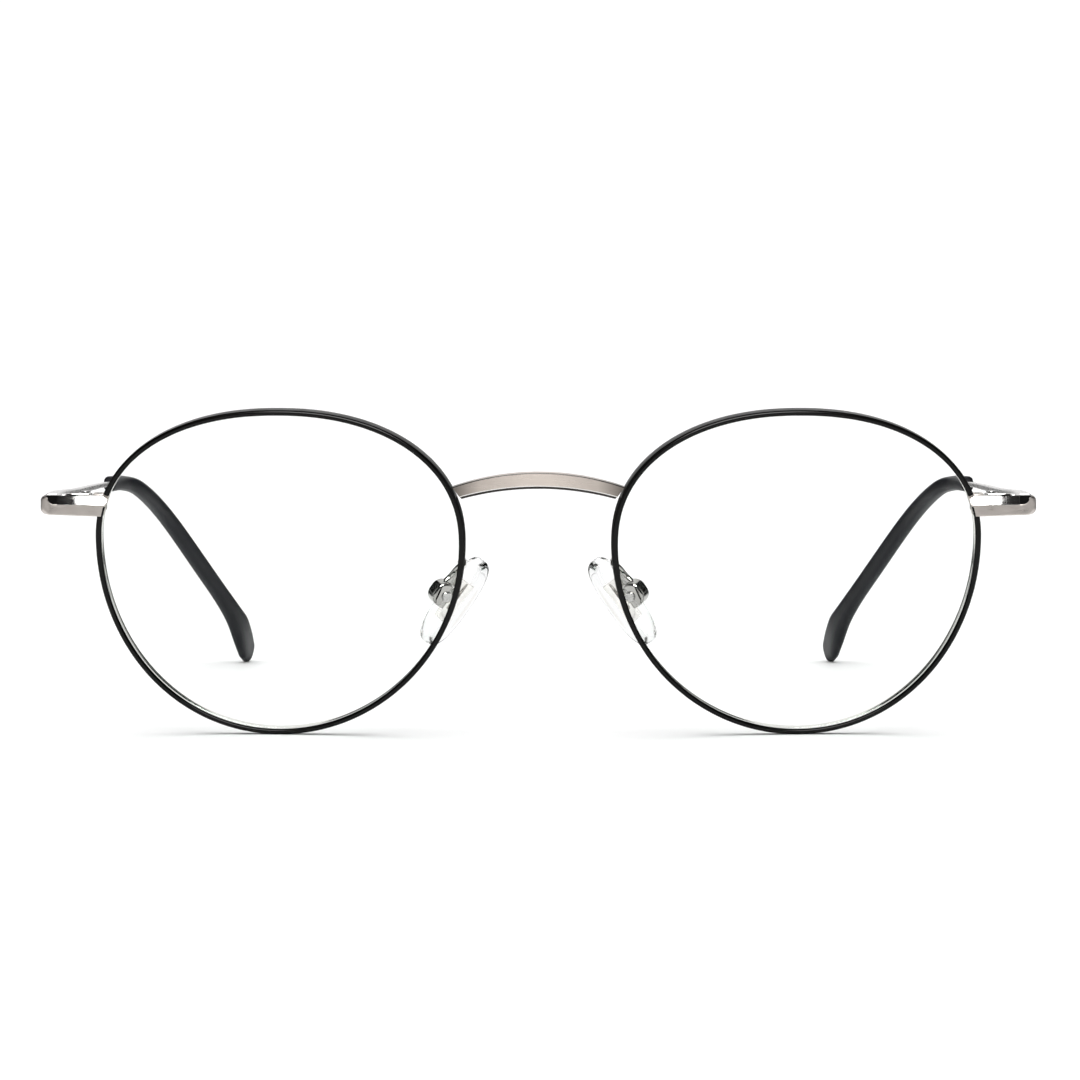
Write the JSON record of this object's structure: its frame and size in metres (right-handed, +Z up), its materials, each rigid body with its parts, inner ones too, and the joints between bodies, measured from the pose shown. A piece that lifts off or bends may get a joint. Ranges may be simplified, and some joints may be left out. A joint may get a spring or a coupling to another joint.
{
  "type": "round wire eyeglasses",
  "caption": "Round wire-frame eyeglasses with an arched bridge, clear lenses, folding wire temples with black sleeves, and clear nose pads on bent metal arms.",
  "frame": {"origin": "on the table, under the middle of the open glasses' bounding box", "axes": "+Z up, the lenses face -Y, the temples run towards +Y; a name ending in right is the side at +X, seen at the right of a front view"},
  "size_m": [0.1378, 0.1372, 0.0455],
  "materials": {
    "black_lacquer": "gloss black lacquer on the front and outside, bare silver metal on the inside and back",
    "satin_silver": "satin, warm silver",
    "polished_silver": "polished",
    "screw_steel": "turned",
    "black_acetate": "satin black sleeve",
    "clear_lens": "clear, polished",
    "clear_pad": "clear, moulded"
  },
  "bodies": {
    "front": {"bridge": "satin_silver", "rim_left": "black_lacquer", "lens_left": "clear_lens", "rim_lock_upper_left": "satin_silver", "rim_lock_lower_left": "satin_silver", "rim_lock_screw_left": "screw_steel", "end_piece_left": "satin_silver", "hinge_front_left": "polished_silver", "hinge_screw_left": "screw_steel", "pad_arm_left": "polished_silver", "pad_box_left": "polished_silver", "pad_screw_left": "screw_steel", "rim_right": "black_lacquer", "lens_right": "clear_lens", "rim_lock_upper_right": "satin_silver", "rim_lock_lower_right": "satin_silver", "rim_lock_screw_right": "screw_steel", "end_piece_right": "satin_silver", "hinge_front_right": "polished_silver", "hinge_screw_right": "screw_steel", "pad_arm_right": "polished_silver", "pad_box_right": "polished_silver", "pad_screw_right": "screw_steel"},
    "temple_right": {"hinge_temple_right": "polished_silver", "temple_right": "satin_silver", "temple_tip_right": "black_acetate"},
    "temple_left": {"hinge_temple_left": "polished_silver", "temple_left": "satin_silver", "temple_tip_left": "black_acetate"},
    "nose_pad_right": {"nose_pad_right": "clear_pad", "pad_insert_right": "polished_silver"},
    "nose_pad_left": {"nose_pad_left": "clear_pad", "pad_insert_left": "polished_silver"}
  },
  "joints": [
    {"name": "fold_right", "type": "hinge", "parent": "front", "child": "temple_right", "pos_m": [0.0629, -0.05917, 0.0322], "axis": [0, 0, 1], "range_deg": [0, 82]},
    {"name": "fold_left", "type": "hinge", "parent": "front", "child": "temple_left", "pos_m": [-0.0629, -0.05917, 0.0322], "axis": [0, 0, -1], "range_deg": [0, 72]},
    {"name": "pad_rock_right", "type": "hinge", "parent": "front", "child": "nose_pad_right", "pos_m": [0.0132, -0.05752, 0.0193], "axis": [0.3462, 0.9063, 0.2424], "range_deg": [-8, 8]},
    {"name": "pad_rock_left", "type": "hinge", "parent": "front", "child": "nose_pad_left", "pos_m": [-0.0132, -0.05752, 0.0193], "axis": [-0.3462, 0.9063, 0.2424], "range_deg": [-8, 8]}
  ]
}
